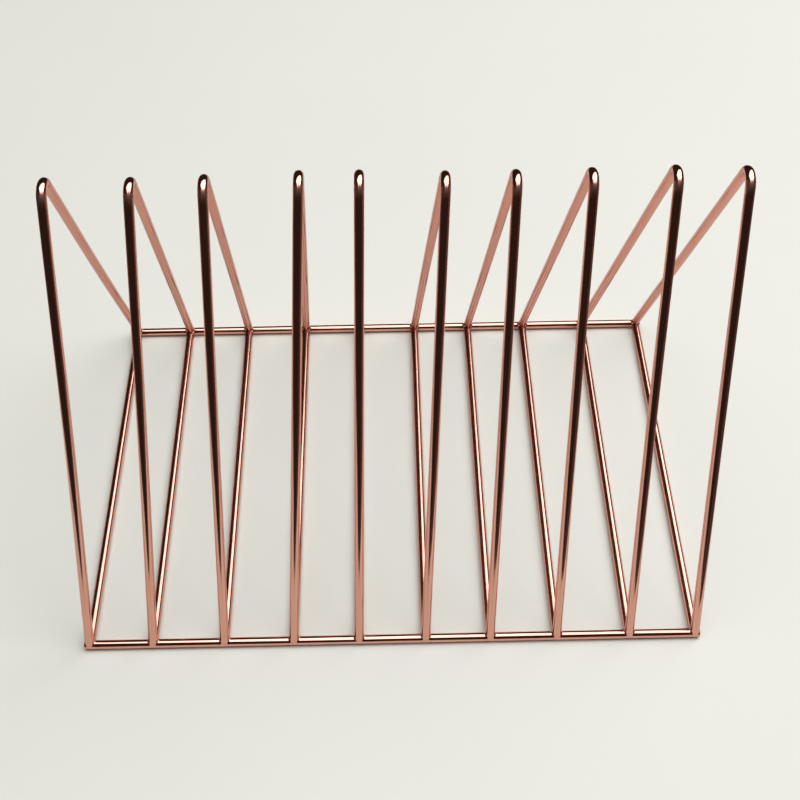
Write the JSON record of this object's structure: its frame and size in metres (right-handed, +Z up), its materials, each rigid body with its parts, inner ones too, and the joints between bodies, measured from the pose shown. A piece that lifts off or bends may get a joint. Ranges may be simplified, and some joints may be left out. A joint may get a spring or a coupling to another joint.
{
  "type": "desktop bookshelf",
  "caption": "Low rack of round copper-plated wire: upside-down V dividers stand on two rails and floor wires, and hold books or files upright.",
  "frame": {"origin": "on the table, under the middle of the rack's box", "axes": "+X along the rails, to the side that the dividers lean to; +Y from the front rail to the rear rail; +Z up"},
  "size_m": [0.3107, 0.2158, 0.2083],
  "materials": {
    "copper_plating": "bright copper-coloured plating on steel wire, mirror-like"
  },
  "bodies": {
    "root": {"front_rail": "copper_plating", "rear_rail": "copper_plating", "floor_wire_01": "copper_plating", "floor_wire_02": "copper_plating", "floor_wire_03": "copper_plating", "floor_wire_04": "copper_plating", "floor_wire_05": "copper_plating", "floor_wire_06": "copper_plating", "floor_wire_07": "copper_plating", "floor_wire_08": "copper_plating", "floor_wire_09": "copper_plating", "floor_wire_10": "copper_plating", "divider_01": "copper_plating", "divider_02": "copper_plating", "divider_03": "copper_plating", "divider_04": "copper_plating", "divider_05": "copper_plating", "divider_06": "copper_plating", "divider_07": "copper_plating", "divider_08": "copper_plating", "divider_09": "copper_plating", "divider_10": "copper_plating"}
  },
  "joints": []
}
